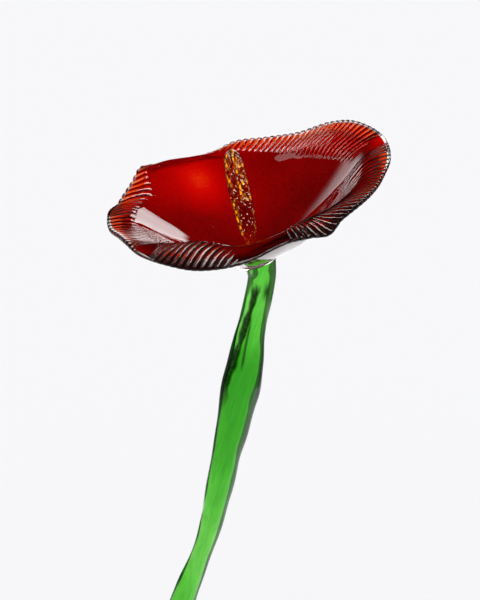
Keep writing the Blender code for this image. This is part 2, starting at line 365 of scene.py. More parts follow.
@dataclass(frozen=True, kw_only=True)
class TintedGlass(WavyGlass):
    """Glass coloured all through, which deepens with the way that light takes inside it."""

    absorbs: Triple
    wave_stretch: float = 1.0
    skin_tint: str = "FFFFFF"
    glint_colour: str = ""
    glint_glow: float = 0.0
    cover: float = 0.0
    painted_shade_colour: str = ""
    shade_patch_mm: float = 1.6
    shade_patch: Span = (0.36, 0.5)
    shade_least: float = 0.82
    deepened: str = "FFFFFF"
    streak: str = "6FA35A"
    streak_mm: float = 1.1
    streak_lean: float = 16.0
    streak_stretch: float = 14.0
    streak_range: Span = (0.42, 0.72)
    streak_most: float = 0.5

    def build(self) -> Material:
        """Make the material; absorbs is the loss for each metre in red, green and blue.

        Returns:
            The material.
        """
        material, tree, out = empty_material(self.name)
        place = add_node(tree, "ShaderNodeTexCoord").outputs["Object"]
        drawn = add_node(tree, "ShaderNodeMapping", None, {
            "Vector": place, "Scale": (1.0, 1.0, self.wave_stretch)}).outputs[0]
        shade = add_node(tree, "ShaderNodeAttribute", {"attribute_name": "shade"}).outputs["Fac"]
        colour = self.shaded_and_streaked(tree, place, shade) if self.painted_shade_colour else linear(self.skin_tint)
        glass = self.bare(tree, drawn, colour)
        # Painted shade on the stem and painted glints that glow on the pistil cover the glass where the
        # piece's attribute says.
        if self.painted_shade_colour or self.glint_colour:
            glass = covered(tree, glass, shade, self.painted_shade_colour or self.glint_colour, self.cover, self.glint_glow)
        density = max(self.absorbs) * 1.02  # a little over, so that no colour of the volume is black
        passed = [1.0 - loss / density for loss in self.absorbs]
        inside = add_node(tree, "ShaderNodeVolumeAbsorption", None,
                          {"Color": (*passed, 1.0), "Density": density})
        tree.links.new(glass.outputs[0], out.inputs["Surface"])
        tree.links.new(inside.outputs[0], out.inputs["Volume"])
        return material

    def shaded_and_streaked(self, tree: Tree, place: Socket, shade: Socket) -> Socket:
        """Colour of glass with drawn-out streaks, painted shade and a deeper swelling.

        Args:
            tree: Tree that takes the nodes.
            place: Place on the piece.
            shade: How dark the painted shade is.

        Returns:
            The colour.
        """
        aligned = add_node(tree, "ShaderNodeMapping", {"vector_type": "TEXTURE"}, {
            "Vector": place, "Rotation": (0.0, math.radians(self.streak_lean), 0.0),
            "Scale": (1.0, 1.0, self.streak_stretch)}).outputs[0]
        streaks = uneven(tree, aligned, self.streak_mm, (3.0, 0.65), self.streak_range,
                         (0.0, self.streak_most))
        torn = uneven(tree, place, self.shade_patch_mm, (4.0, 0.7), self.shade_patch, (self.shade_least, 1.0))
        dark = add_node(tree, "ShaderNodeMath", {"operation": "MULTIPLY"}, {0: shade, 1: torn})
        swollen = add_node(tree, "ShaderNodeAttribute", {"attribute_name": "swollen"})
        colour: Any = (1.0, 1.0, 1.0, 1.0)
        for share, over in ((swollen.outputs["Fac"], self.deepened), (streaks, self.streak),
                            (dark.outputs[0], self.painted_shade_colour)):
            colour = add_node(tree, "ShaderNodeMix", {"data_type": "RGBA"}, {
                0: share, 6: colour, 7: linear(over)}).outputs[2]
        return colour


@dataclass(frozen=True)
class RedCasing:
    """Red gather cased in clear: deep red where thick, orange where it thins, uneven from the frit.

    Each kind of unevenness gives a size in millimetres, its octaves, the part of the noise that is used and
    how far it swings: first the grain, then broad clouds. Powder frit is finer than 0.2 mm, which is under
    a pixel of the render, so its grain is drawn at 0.7 mm.
    """

    name: str = "red_cased_glass_powdered"
    unevenness: Table = ((0.7, 2.0, 0.25, 0.75, 0.3), (22.0, 3.0, 0.3, 0.7, 0.12))
    scatter: float = 0.5
    deepest: float = 4.0
    stops: tuple[tuple[float, str], ...] = (
        (0.0, "FFFFFF"), (0.03, "FFC090"), (0.06, "FF9448"), (0.1, "FA661C"), (0.15, "F0400E"),
        (0.2, "E72405"), (0.3, "DA0802"), (0.5, "C30101"), (1.0, "950101"), (1.6, "6B0101"),
        (2.4, "3E0000"), (4.0, "120000"),
    )

    def build(self) -> Material:
        """Make the material; the piece's attribute gather says how thick the red is, and also carries
        painted shade in the grooves and a painted glow where the red is thinner.

        Returns:
            The material.
        """
        material, tree, out = empty_material(self.name)
        place = add_node(tree, "ShaderNodeTexCoord").outputs["Object"]
        depth = add_node(tree, "ShaderNodeAttribute", {"attribute_name": "gather"}).outputs["Fac"]
        for size_mm, octaves, low, high, swing in self.unevenness:
            share = uneven(tree, place, size_mm, (octaves, 0.5), (low, high), (1.0 - swing, 1.0 + swing))
            product = add_node(tree, "ShaderNodeMath", {"operation": "MULTIPLY"}, {0: depth, 1: share})
            depth = product.outputs[0]
        share = add_node(tree, "ShaderNodeMath", {"operation": "DIVIDE"}, {0: depth, 1: self.deepest})
        ramp = add_node(tree, "ShaderNodeValToRGB", None, {"Fac": share.outputs[0]})
        while len(ramp.color_ramp.elements) < len(self.stops):
            ramp.color_ramp.elements.new(0.5)
        for element, (position, colour) in zip(ramp.color_ramp.elements, self.stops):
            element.position = position / self.deepest
            element.color = linear(colour)
        clear = add_node(tree, "ShaderNodeBsdfTransparent", None, {"Color": ramp.outputs["Color"]})
        glow = add_node(tree, "ShaderNodeBsdfTranslucent", None, {"Color": ramp.outputs["Color"]})
        both = add_node(tree, "ShaderNodeMixShader", None,
                        {0: self.scatter, 1: clear.outputs[0], 2: glow.outputs[0]})
        tree.links.new(both.outputs[0], out.inputs["Surface"])
        return material


@dataclass(frozen=True)
class MattPaper:
    """White matt paper sweep: even and without a highlight, so the ground is one pale tone.

    It is lit out to half from the middle and dim in front, which keeps the glass's dark edges dark.
    """

    name: str = "white_matt_paper_sweep"
    colour: str = "707072"
    roughness: float = 0.9
    light: str = "FBFBFC"
    half: float = 0.75
    side_soft: float = 0.1
    glow: Span = (0.05, 1.05)
    front: float = -0.25
    front_soft: float = 0.15
    front_least: float = 0.1
    camera_glow: float = 0.70

    def build(self) -> Material:
        """Make the material.

        Returns:
            The material.
        """
        material, tree, out = empty_material(self.name)
        position = add_node(tree, "ShaderNodeNewGeometry").outputs["Position"]
        place = add_node(tree, "ShaderNodeSeparateXYZ", None, {0: position})
        aside = add_node(tree, "ShaderNodeMath", {"operation": "ABSOLUTE"}, {0: place.outputs["X"]})
        lit = add_node(tree, "ShaderNodeMapRange", {"interpolation_type": "SMOOTHSTEP"}, {
            "Value": aside.outputs[0], "From Min": self.half + self.side_soft,
            "From Max": self.half - self.side_soft, "To Min": self.glow[0], "To Max": self.glow[1]})
        ahead = add_node(tree, "ShaderNodeMapRange", {"interpolation_type": "SMOOTHSTEP"}, {
            "Value": place.outputs["Y"], "From Min": self.front - self.front_soft,
            "From Max": self.front + self.front_soft, "To Min": self.front_least, "To Max": 1.0})
        both = add_node(tree, "ShaderNodeMath", {"operation": "MULTIPLY"}, {
            0: lit.outputs[0], 1: ahead.outputs[0]})
        paper = add_node(tree, "ShaderNodeBsdfPrincipled", None, {
            "Base Color": linear(self.colour), "Roughness": self.roughness, "Specular IOR Level": 0.0,
            "Emission Color": linear(self.light),
            "Emission Strength": shown(tree, both.outputs[0], self.camera_glow)})
        tree.links.new(paper.outputs[0], out.inputs["Surface"])
        return material


@dataclass
class HeadFrame:
    """Where the dish sits and how it is tipped."""

    place: Triple = (72.5, 0.0, 380.0)
    roll: float = -15.0
    tilt: float = 7.0

    def turn(self) -> Array:
        """Rotation of the dish."""
        roll = Matrix.Rotation(math.radians(self.roll), 3, "Y")
        return np.array(roll @ Matrix.Rotation(math.radians(self.tilt), 3, "X"))

    def stand(self, points: Array) -> Array:
        """Move points of the dish's own frame to the model's frame."""
        return points @ self.turn().T + np.array(self.place)


@dataclass
class DishForm:
    """Form of the ruffled dish, before it has thickness or ribs.

    Each row gives an angle, the reach and rise where the lip starts, the reach and rise of its edge, and
    where on the lip the ribs begin. Below 0 that is in the bowl, which counts as bowl_lips lips.
    """

    rows: Table = (
        (0, 50, 22.5, 63.5, 25.0, 0.05), (14, 49, 21.5, 65.0, 29.5, 0.1),
        (30, 47, 21.0, 63.0, 33.5, 0.0), (45, 46, 21.0, 62.0, 32.5, 0.0),
        (60, 47, 20.5, 60.0, 29.5, 0.15), (75, 49, 22.0, 60.0, 29.5, 0.25),
        (88, 51, 24.5, 61.0, 30.5, 0.35), (97, 54, 27.5, 63.0, 28.0, 0.5),
        (108, 55, 29.5, 65.0, 26.5, 0.6), (121, 55, 32.0, 65.0, 29.5, 0.55),
        (130, 52, 31.5, 61.0, 34.0, 0.35), (138, 47, 25.0, 60.0, 30.0, 0.1),
        (147, 47, 23.0, 60.5, 26.5, 0.1), (155, 46, 22.5, 60.0, 26.0, 0.1),
        (166, 43, 20.5, 56.5, 26.0, 0.1), (180, 39, 19.0, 53.5, 25.5, -0.1),
        (195, 38, 19.0, 51.0, 26.0, -0.35), (210, 42, 21.5, 52.5, 26.5, -0.35),
        (225, 47, 25.0, 57.0, 25.0, 0.1), (238, 49, 25.5, 59.0, 22.0, 0.05),
        (252, 49, 25.0, 60.0, 18.5, 0.0), (268, 49, 20.5, 59.0, 17.5, 0.0),
        (285, 49, 20.5, 58.0, 20.0, 0.0), (296, 49, 21.5, 57.0, 18.0, 0.0),
        (303, 49, 21.5, 59.0, 16.5, 0.0), (310, 49, 21.0, 59.5, 20.0, 0.0),
        (328, 49.5, 21.5, 60.5, 22.0, 0.0), (345, 50, 22.0, 60.5, 22.5, 0.0),
    )
    bowl_power: float = 1.75
    bowl_lips: float = 3.0
    spacing: Table = (
        (0.0, 0.0), (0.7, 2.0), (8.9, 16.0), (61.0, 165.0), (73.4, 218.0), (74.5, 221.0), (81.5, 233.0),
        (126.0, 360.0),
    )
    rib_height: float = 0.45
    rib_power: float = 0.5
    rib_delay: float = 0.1
    rib_onset: float = 0.15
    early_ribs: Triple = (355.0, 20.0, 0.5)
    groove_width: float = 0.5
    slot_walls: Span = (0.38, 0.66)
    swirls: Table = (
        (-3, -5.0), (4, 1.0), (18, 9.5), (60, 9.5), (95, 9.0), (150, -11.0), (185, -7.0), (215, -5.0),
        (238, 11.0), (256, 13.0), (286, 1.0), (316, -11.0), (332, -12.0), (350, -9.0), (357, -5.0),
    )
    smooth_places: Table = ((226.0, 10.0), (12.0, 5.0), (276.0, 18.0))
    smooth_fade: float = 0.6
    crease_end: Span = (-24.0, 31.5)
    crease_run: Span = (-8.0, 6.0)
    crease_widths: Span = (10.0, 3.0)
    crease_depth: float = 1.4
    step_angle: Span = (50.0, 22.0)
    step_foot: Span = (48.0, 51.5)
    step_top: Span = (52.5, 59.0)
    step_rise: float = 1.2

    def lip_rows(self, angle: Array) -> Array:
        """Read the lip all round.

        Args:
            angle: Angles in radians.

        Returns:
            Lip start reach and rise, edge reach and rise, and where the ribs begin, for each angle.
        """
        table = np.array(self.rows)
        count = len(table)
        turn = np.degrees(angle) % 360.0
        step = np.searchsorted(table[:, 0], turn, side="right") - 1

        def at(shift: int) -> tuple[Array, Array]:
            """Row and unwound angle that many rows on."""
            index = step + shift
            return table[index % count], table[index % count, 0] + 360.0 * (index // count)

        (before, a0), (low, a1), (high, a2), (after, a3) = at(-1), at(0), at(1), at(2)
        t = ((turn - a1) / (a2 - a1))[:, None]
        leave = ((a2 - a1) / (a2 - a0))[:, None] * (high - before)
        arrive = ((a2 - a1) / (a3 - a1))[:, None] * (after - low)
        values = (low * (2 * t ** 3 - 3 * t * t + 1) + leave * (t ** 3 - 2 * t * t + t)
                  + high * (3 * t * t - 2 * t ** 3) + arrive * (t ** 3 - t * t))
        return values[:, 1:]

    def swirl(self, turn: Array) -> Array:
        """How far each rib leans round between the rim and the bowl.

        Args:
            turn: Rib angles at the rim, in radians.

        Returns:
            Turn from the rim to the lip's start, in radians.
        """
        where, lean = np.array(self.swirls).T
        degrees = (np.degrees(turn) + 3.0) % 360.0 - 3.0
        step = np.clip(np.searchsorted(where, degrees, side="right") - 1, 0, len(where) - 2)
        share = smoothstep(0.0, 1.0, (degrees - where[step]) / (where[step + 1] - where[step]))
        return np.radians(lean[step] + (lean[step + 1] - lean[step]) * share)

    def surface(self, turn: Array, bowl: float, lip: float) -> Array:
        """One ring of the dish.

        Args:
            turn: Rib angles in radians.
            bowl: 0 at the middle to 1 at the lip's start.
            lip: 0 at the lip's start to 1 at the edge.

        Returns:
            Points in the dish's own frame, in millimetres.
        """
        angle = turn + self.swirl(turn) * (1.0 - lip)
        start, rise, reach, edge, _ribs = self.lip_rows(angle).T
        if lip <= 0.0:
            out, up = start * bowl, rise * bowl ** self.bowl_power
        else:
            slope = unit(np.stack([start, self.bowl_power * rise], -1))
            foot, end = np.stack([start, rise], -1), np.stack([reach, edge], -1)
            bend = foot + slope * 0.5 * np.linalg.norm(end - foot, axis=-1, keepdims=True)
            point = foot * (1 - lip) ** 2 + bend * 2 * lip * (1 - lip) + end * lip ** 2
            out, up = point[:, 0], point[:, 1]
        x, y = out * np.cos(angle), out * np.sin(angle)
        return np.stack([x, y, up - self.crease(x, y) + self.back_step(angle, out)], -1)

    def back_step(self, angle: Array, out: Array) -> Array:
        """Rise of the steeper band under the ribs of the back wall.

        Args:
            angle: Angles in radians.
            out: Reach of each place, in millimetres.

        Returns:
            How far each place is lifted.
        """
        middle, wide = self.step_angle
        near = np.exp(-((np.degrees(angle) % 360.0 - middle) / wide) ** 2)
        return self.step_rise * near * (smoothstep(*self.step_foot, out) - smoothstep(*self.step_top, out))

    def crease(self, x: Array, y: Array) -> Array:
        """Depth of the fold that runs in from the notch in the left end of the rim.

        Args:
            x: Places across the dish, in millimetres.
            y: Places toward the back, in millimetres.

        Returns:
            How far each place is pressed down.
        """
        along = self.crease_end[0] - x
        aside = self.crease_end[1] - y
        width = np.where(aside > 0.0, *self.crease_widths)
        return self.crease_depth * smoothstep(*self.crease_run, along) * np.exp(-np.abs(aside) / width)

    def rib_strength(self, turn: Array, bowl: float, lip: float) -> Array:
        """How far the ribs stand out on a ring, 0 to 1.

        Args:
            turn: Rib angles in radians.
            bowl: Ring's place in the bowl.
            lip: Ring's place on the lip, or 0 in the bowl.

        Returns:
            One number for each angle.
        """
        angle = turn + self.swirl(turn) * (1.0 - lip)
        degrees = np.degrees(angle) % 360.0
        middle, wide, sooner = self.early_ribs
        away = (degrees - middle + 180.0) % 360.0 - 180.0
        begin = self.lip_rows(angle)[:, 4] + self.rib_delay - sooner * np.exp(-(away / wide) ** 2)
        place = lip if lip > 0.0 else -self.bowl_lips * (1.0 - bowl)
        fold = np.max([1.0 - np.abs(degrees - at) / reach for at, reach in self.smooth_places], axis=0)
        ribbed = smoothstep(0.0, self.rib_onset, place - begin)
        return ribbed * (1.0 - smoothstep(0.0, self.smooth_fade, fold))

    def turns(self, count: Array) -> Array:
        """Angles of places counted in ribs: wide apart on the left lobe, close on the folds."""
        ribs, degrees = np.array(self.spacing).T
        return np.radians(np.interp(count, ribs, degrees))

    def rib(self, count: Array) -> Array:
        """Rounded land and groove of the tooling, -1 in the groove to 1 on the land."""
        return 2.0 * np.abs(np.sin(math.pi * count)) ** self.rib_power - 1.0

    def groove(self, count: Array) -> Array:
        """1 along the bottom of each groove, 0 on the lands."""
        return np.exp(-(np.abs(np.sin(math.pi * count)) / self.groove_width) ** 2)

    def slot(self, count: Array) -> Array:
        """1 across the bottom of each groove, where its line of painted shade goes, 0 on the lands."""
        return 1.0 - smoothstep(*self.slot_walls, np.abs(np.sin(math.pi * count)))


@dataclass(frozen=True)
class Sector:
    """Part of the rim, in degrees: whole within inner of its middle, gone beyond outer."""

    middle: float
    inner: float
    outer: float

    def share(self, turn: Array) -> Array:
        """1 in the sector to 0 outside it, for angles in radians."""
        return 1.0 - smoothstep(self.inner, self.outer, np.abs(np.degrees(turn) - self.middle))


@dataclass
class RedGather:
    """Thickness of the red inside the dish: about 1 where the glass is full red.

    Each painted glow place gives its middle, its half sizes and how much thinner the red is there; the
    thinner red paints the glow of backlight as a bright orange spot.
    """

    full: float = 1.1
    right_more: float = 0.15
    right_zone: Span = (-30.0, 40.0)
    low_more: float = 0.3
    low_zone: Span = (12.0, 38.0)
    painted_glow_places: Table = ((-15.0, 45.0, 10.0, 12.0, 0.5), (-22.0, 44.0, 26.0, 17.0, 0.45))
    front_less: float = 0.85
    front_zone: Span = (0.0, 0.4)
    fade_length: float = 0.5
    fade_power: float = 1.2
    edge_share: float = 0.2

    def depth(self, x: Array, y: Array, lip: float, front: Array) -> Array:
        """Thickness before the layer runs out.

        Args:
            x: Places across the dish, in millimetres.
            y: Places toward the back, in millimetres.
            lip: Ring's place on the lip.
            front: 1 on the front of the lip, 0 elsewhere.

        Returns:
            One number for each place.
        """
        low = self.low_more * (1.0 - smoothstep(*self.low_zone, y))
        depth = self.full + self.right_more * smoothstep(*self.right_zone, x) + low
        # Painted glow: the red is made thinner where backlight glows through the dish.
        for across, back, wide, deep, less in self.painted_glow_places:
            depth = depth - less * np.exp(-(((x - across) / wide) ** 2 + ((y - back) / deep) ** 2))
        return depth - self.front_less * front * smoothstep(*self.front_zone, lip)

    def run_out(self, lip: float, stop: Array, front: Array) -> Array:
        """Share of the thickness that is left near the layer's end, whole on the front.

        Args:
            lip: Ring's place on the lip.
            stop: Where on the lip the layer ends, for each angle.
            front: 1 on the front of the lip, 0 elsewhere.

        Returns:
            One share for each angle.
        """
        left = np.clip((stop - lip) / self.fade_length, 0.0, 1.0) ** self.fade_power
        thin = self.edge_share + (1.0 - self.edge_share) * left
        return thin + (1.0 - thin) * front


@dataclass
class Bloom:
    """Dish of clear glass with a red layer cased inside it that stops short of the clear edge."""

    head: HeadFrame
    form: DishForm
    red: RedGather
    rib_steps: tuple[float, ...] = (0.0, 0.05, 0.13, 0.28, 0.5, 0.72, 0.87, 0.95)
    bowl_rings: int = 16
    lip_rings: int = 24
    thickness: float = 3.0
    edge_thickness: float = 1.4
    thinning: Span = (0.4, 1.0)
    edge_rings: int = 7
    edge_round: float = 0.6
    edge_ripple: float = 0.25
    edge_lift: float = 0.6
    edge_zone: Span = (0.85, 1.0)
    underside_rib: float = 0.5
    underside_zone: Span = (0.3, 0.8)
    boss_from: float = 0.25
    boss: Table = (
        (9.9, 1.9), (9.4, 2.3), (9.1, 3.2), (8.9, 4.1), (8.4, 4.5), (7.6, 4.6), (4.0, 4.6))
    faint: Sector = Sector(85.0, 50.0, 75.0)
    faint_loss: float = 0.6
    # Painted shade along the tucked front edge: where, over which part of the lip, and how dark.
    tucked: Sector = Sector(266.0, 50.0, 68.0)
    tucked_zone: Span = (0.88, 0.98)
    tucked_edge_shade: float = 0.5
    layer_depth: float = 1.1
    boss_depth: float = 3.6
    boss_zone: Span = (0.12, 0.26)
    land_rise: float = 0.6
    land_follow: float = 0.8
    land_thin: float = 0.84
    # Painted shade: how much darker the red is made along each groove bottom.
    groove_shade_depth: float = 1.6
    front: Sector = Sector(275.0, 36.0, 52.0)
    back: Sector = Sector(100.0, 30.0, 45.0)
    clear_edge: float = 0.7
    back_edge: float = 0.25
    front_edge: float = 0.4
    wrap: Table = (
        (0.35, 0.15), (0.5, 0.45), (0.35, 0.8), (-0.3, 0.95), (-1.6, 1.0), (-3.4, 1.1))
    wrap_gather: float = 2.6
    wrap_share: float = 0.5

    def counts(self) -> Array:
        """Places along the rim in ribs, closer together near the grooves."""
        return (np.arange(self.form.spacing[-1][0])[:, None] + np.array(self.rib_steps)).ravel()

    def rings(self) -> tuple[Array, list[Span], Array, Array]:
        """Rings of the upper form.

        Returns:
            Rib angles, ring places, ring points and normals.
        """
        turn = self.form.turns(self.counts())
        places = [(k / self.bowl_rings, 0.0) for k in range(1, self.bowl_rings + 1)]
        places += [(1.0, k / self.lip_rings) for k in range(1, self.lip_rings + 1)]
        points = np.array([self.form.surface(turn, bowl, lip) for bowl, lip in places])
        return turn, places, points, upward_normals(points)

    def casing(self) -> Piece:
        """Clear body: ribbed face, rounded edge, plain back and the low boss.

        Returns:
            The piece.
        """
        turn, places, points, normals = self.rings()
        count = self.counts()
        rib = self.form.rib(count)
        # Painted shade: dark lines along the groove bottoms, weaker in the faint sector, and a dark line on
        # the tucked front edge.
        painted_groove_lines = (1.0 - self.faint_loss * self.faint.share(turn)) * self.form.slot(count)
        tucked = self.tucked_edge_shade * self.tucked.share(turn)
        upper, under, lines = [], [], []
        for (bowl, lip), ring, normal in zip(places, points, normals):
            strength = self.form.rib_strength(turn, bowl, lip)
            height = self.form.rib_height * (1.0 + self.edge_lift * smoothstep(*self.edge_zone, lip))
            relief = height * strength * rib
            thinned = (self.edge_thickness - self.thickness) * smoothstep(*self.thinning, lip)
            below = self.underside_rib * relief * smoothstep(*self.underside_zone, lip)
            upper.append(ring + normal * relief[:, None])
            under.append(ring - normal * (self.thickness + thinned + below[:, None]))
            lines.append(np.maximum(painted_groove_lines * strength, tucked * smoothstep(*self.tucked_zone, lip)))
        outward = unit(points[-1] - points[-2])
        middle = (upper[-1] + under[-1]) / 2.0
        half = (upper[-1] - under[-1]) / 2.0
        swell = self.edge_round * (1.0 + self.edge_ripple * rib)[:, None]
        edge = [middle + half * math.cos(sweep) + outward * swell * math.sin(sweep)
                for sweep in np.linspace(0.0, math.pi, self.edge_rings + 2)[1:-1]]
        back = [ring for (bowl, _lip), ring in zip(places, under) if bowl >= self.boss_from][::-1]
        spin = np.stack([np.cos(turn), np.sin(turn)], -1)
        boss = [np.column_stack([spin * reach, np.full(len(turn), -drop)]) for reach, drop in self.boss]
        piece = skin("bloom_casing", self.head.stand(np.array(upper + edge + back + boss)))
        lines += [lines[-1]] * (self.edge_rings + 1)
        store(piece, "groove", np.array(lines))
        return piece

    def layer(self) -> Piece:
        """Red layer inside the clear body, with its thickness kept as an attribute.

        Returns:
            The piece.
        """
        turn, places, points, normals = self.rings()
        count = self.counts()
        rib, groove = self.form.rib(count), self.form.groove(count)
        front = self.front.share(turn)
        clear = self.clear_edge + (self.front_edge - self.clear_edge) * front
        clear += (self.back_edge - self.clear_edge) * self.back.share(turn)
        stop = 1.0 - clear / np.linalg.norm(np.diff(points[self.bowl_rings - 1:], axis=0), axis=-1).sum(0)
        kept, gather = [], []
        for (bowl, lip), ring, normal in zip(places, points, normals):
            strength = self.form.rib_strength(turn, bowl, lip)
            deeper = (self.boss_depth - self.layer_depth) * (1.0 - smoothstep(*self.boss_zone, bowl))
            follow = self.land_rise + self.land_follow * self.form.rib_height * rib
            kept.append(ring - normal * (self.layer_depth + deeper - strength * follow)[:, None])
            land = self.gather(turn, bowl, lip, stop, front) * (1.0 - self.land_thin * strength)
            # Painted shade: the red is drawn thicker and darker along each groove bottom.
            gather.append(land + self.groove_shade_depth * strength * groove)
        kept, gather = np.array(kept), np.array(gather)
        cut = self.bowl_rings - 1 + stop * self.lip_rings
        whole, columns = np.floor(cut).astype(int), np.arange(len(turn))
        share = (cut - whole)[:, None]
        beyond = np.minimum(whole + 1, len(kept) - 1)
        rim = kept[whole, columns] * (1 - share) + kept[beyond, columns] * share
        over = np.arange(len(kept))[:, None] > cut
        rings = list(np.where(over[..., None], rim, kept))
        values = list(np.where(over, gather[whole, columns], gather))
        outward = unit(points[-1] - points[-2])
        for out, down in self.wrap:
            rings.append(rim + (outward * out - normals[-1] * down) * front[:, None])
            values.append(values[-1] + (self.wrap_gather - values[-1]) * self.wrap_share * front)
        piece = skin("bloom_red_layer", self.head.stand(np.array(rings)), caps=False)
        store(piece, "gather", np.array(values))
        return piece

    def gather(self, turn: Array, bowl: float, lip: float, stop: Array, front: Array) -> Array:
        """Thickness of the red layer on a ring.

        Args:
            turn: Rib angles in radians.
            bowl: Ring's place in the bowl.
            lip: Ring's place on the lip.
            stop: Where on the lip the layer ends, for each angle.
            front: 1 on the front of the lip, 0 elsewhere.

        Returns:
            Optical thickness for each angle.
        """
        angle = turn + self.form.swirl(turn) * (1.0 - lip)
        start = self.form.lip_rows(angle)[:, 0] * bowl
        depth = self.red.depth(start * np.cos(angle), start * np.sin(angle), lip, front)
        return depth * self.red.run_out(lip, stop, front)

    def build(self) -> None:
        """Make and dress the dish."""
        settle(self.casing(), "bloom", GrooveShadedGlass().build())
        settle(self.layer(), "bloom", RedCasing().build())


@dataclass
class Pistil:
    """Club of amber glass rolled in a net mould, leaning a little out of the dish's axis."""

    head: HeadFrame
    profile: Table = (
        (0.0, 2.7), (1.1, 1.9), (2.5, 1.4), (4.9, 2.0), (7.0, 2.8), (9.0, 3.3), (13.0, 3.8), (21.0, 4.2),
        (29.0, 4.2), (34.0, 4.0), (39.0, 3.6), (41.5, 2.9), (43.2, 1.8), (44.0, 0.5),
    )
    lean: float = 3.0
    lift: float = 0.5
    around: int = 10
    rows: int = 26
    wander: Table = ((0.18, 3.0, 0.7, 0.0), (0.14, 5.0, -1.3, 1.0))
    sway: Span = (0.12, 0.9)
    pit: float = 0.8
    pit_level: float = 0.35
    pit_power: float = 0.6
    net_start: Span = (2.0, 8.0)
    net_end: float = 3.0
    gold_sides: Table = (
        (207.0, 16.0, 1.0), (279.0, 6.0, 0.0), (303.0, 5.0, 0.0), (343.0, 6.0, 0.6))
    gold_upper: Span = (20.0, 26.0)
    gold_start: Span = (3.0, 7.0)
    gold_cell: Span = (0.25, 0.6)
    gold_skipped: float = 0.25
    shuffle: Triple = (12.99, 78.23, 43758.5)
    sides: int = 144
    rings: int = 300

    def radius(self, along: Array) -> Array:
        """Smooth radius at lengths from the foot."""
        fine = spline_through(np.array(self.profile), 12)
        return np.interp(along, fine[:, 0], np.maximum(fine[:, 1], 0.05))

    def painted_gold_glints(self, turn: Array, along: Array, left: Array, right: Array, cell: Array) -> Array:
        """Painted glints: glowing golden colour in the cells of the net, on the sides that catch the light.

        Args:
            turn: Angles round the pistil.
            along: Lengths from its foot.
            left: Place across the threads that rise to the left.
            right: Place across those that rise to the right.
            cell: 0 on the threads to 1 in the middle of a cell.

        Returns:
            0 amber to 1 gold.
        """
        first, second, spread = self.shuffle
        chance = np.abs(np.sin(first * np.floor(left) + second * np.floor(right)) * spread) % 1.0
        upper = smoothstep(*self.gold_upper, along)
        side = sum((share + (1.0 - share) * upper) * np.exp(-((np.degrees(turn) - at) / wide) ** 2)
                   for at, wide, share in self.gold_sides)
        flecks = side * smoothstep(*self.gold_cell, cell) * (chance > self.gold_skipped)
        return np.clip(flecks * smoothstep(*self.gold_start, along), 0.0, 1.0)

    def build(self) -> None:
        """Make and dress the pistil."""
        length = self.profile[-1][0]
        along = np.linspace(0.0, length, self.rings)[:, None]
        turn = np.linspace(0.0, math.tau, self.sides, endpoint=False)[None, :]
        row = along / length * self.rows + sum(
            size * np.sin(waves * turn + along * climb + phase) for size, waves, climb, phase in self.wander)
        left = turn * self.around / math.tau - row / 2.0 + self.sway[0] * np.sin(along * self.sway[1])
        right = left + row
        cell = np.abs(np.sin(math.pi * left)) * np.abs(np.sin(math.pi * right))
        fade = between(self.net_start, (length - self.net_end, length), along)
        radius = self.radius(along) + self.pit * fade * (self.pit_level - cell ** self.pit_power)
        local = np.stack([radius * np.cos(turn), radius * np.sin(turn), along + 0.0 * turn + self.lift], -1)
        tip = np.array(Matrix.Rotation(math.radians(self.lean), 3, "Y"))
        piece = skin("pistil_club", self.head.stand(local @ tip.T))
        store(piece, "shade", self.painted_gold_glints(turn, along, left, right, cell))
        # Amber glass rolled in a net mould: small pits that break the light, with painted golden glints that
        # glow where they would catch it.
        amber = TintedGlass(name="amber_glass_net_moulded", absorbs=(95.0, 520.0, 1500.0), wave_mm=1.6,
                            wave_depth_mm=0.05, glint_colour="FFA800", cover=1.0, glint_glow=0.5)
        settle(piece, "pistil", amber.build())


